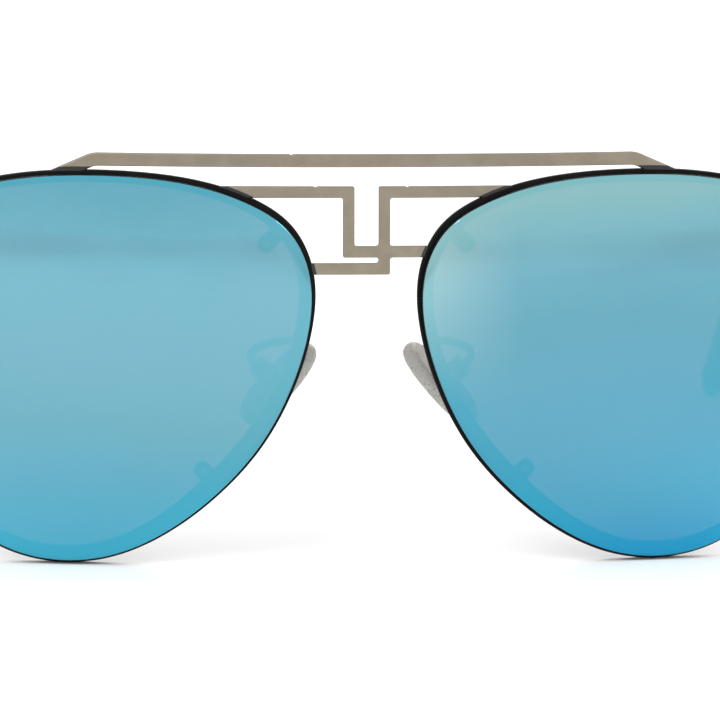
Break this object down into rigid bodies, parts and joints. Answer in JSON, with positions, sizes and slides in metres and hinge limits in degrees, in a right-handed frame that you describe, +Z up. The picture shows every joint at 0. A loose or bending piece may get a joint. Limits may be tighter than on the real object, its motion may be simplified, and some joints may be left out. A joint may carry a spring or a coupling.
{
  "type": "sunglasses",
  "caption": "Aviator sunglasses with blue mirrored lenses, a straight brow bar, an interlocked-bar bridge, rocking nose pads and folding temples.",
  "frame": {"origin": "centre of the footprint of the open sunglasses, on the surface that the rims and the temple tips rest on", "axes": "+Z up, -Y towards what the wearer looks at, +X towards the wearer's left"},
  "size_m": [0.1426, 0.1448, 0.056],
  "materials": {
    "mirror_lens": "blue graded mirror coating on a tinted lens",
    "black_lacquer": "gloss black lacquer",
    "champagne_metal": "satin champagne plating",
    "bright_steel": "bright plated steel",
    "clear_silicone": "clear frosted silicone",
    "black_acetate": "polished black acetate"
  },
  "bodies": {
    "front": {"brow_bar": "champagne_metal", "bridge": "champagne_metal", "rim_left": "black_lacquer", "lens_left": "mirror_lens", "pad_arm_left": "champagne_metal", "pad_box_left": "champagne_metal", "pad_screw_left": "bright_steel", "end_piece_left": "champagne_metal", "hinge_front_left": "champagne_metal", "hinge_screw_left": "bright_steel", "lens_rivet_upper_temple_left": "bright_steel", "lens_rivet_upper_nose_left": "bright_steel", "lens_rivet_lower_nose_left": "bright_steel", "lens_rivet_lower_temple_left": "bright_steel", "rim_right": "black_lacquer", "lens_right": "mirror_lens", "pad_arm_right": "champagne_metal", "pad_box_right": "champagne_metal", "pad_screw_right": "bright_steel", "end_piece_right": "champagne_metal", "hinge_front_right": "champagne_metal", "hinge_screw_right": "bright_steel", "lens_rivet_upper_temple_right": "bright_steel", "lens_rivet_upper_nose_right": "bright_steel", "lens_rivet_lower_nose_right": "bright_steel", "lens_rivet_lower_temple_right": "bright_steel"},
    "temple_left_arm": {"temple_left": "champagne_metal", "temple_tip_left": "black_acetate", "hinge_temple_left": "champagne_metal"},
    "temple_right_arm": {"temple_right": "champagne_metal", "temple_tip_right": "black_acetate", "hinge_temple_right": "champagne_metal"},
    "pad_left": {"nose_pad_left": "clear_silicone", "pad_lug_left": "bright_steel"},
    "pad_right": {"nose_pad_right": "clear_silicone", "pad_lug_right": "bright_steel"}
  },
  "joints": [
    {"name": "temple_left_fold", "type": "hinge", "parent": "front", "child": "temple_left_arm", "pos_m": [0.06825, -0.05462, 0.0426], "axis": [0, 0.1132, 0.9936], "range_deg": [0, 90.5]},
    {"name": "temple_right_fold", "type": "hinge", "parent": "front", "child": "temple_right_arm", "pos_m": [-0.06825, -0.05462, 0.0426], "axis": [0, -0.1132, -0.9936], "range_deg": [0, 86]},
    {"name": "pad_left_rock", "type": "hinge", "parent": "front", "child": "pad_left", "pos_m": [0.01295, -0.06022, 0.025], "axis": [0.3141, 0.9063, 0.2828], "range_deg": [-12, 12]},
    {"name": "pad_right_rock", "type": "hinge", "parent": "front", "child": "pad_right", "pos_m": [-0.01295, -0.06022, 0.025], "axis": [0.3141, -0.9063, -0.2828], "range_deg": [-12, 12]}
  ]
}
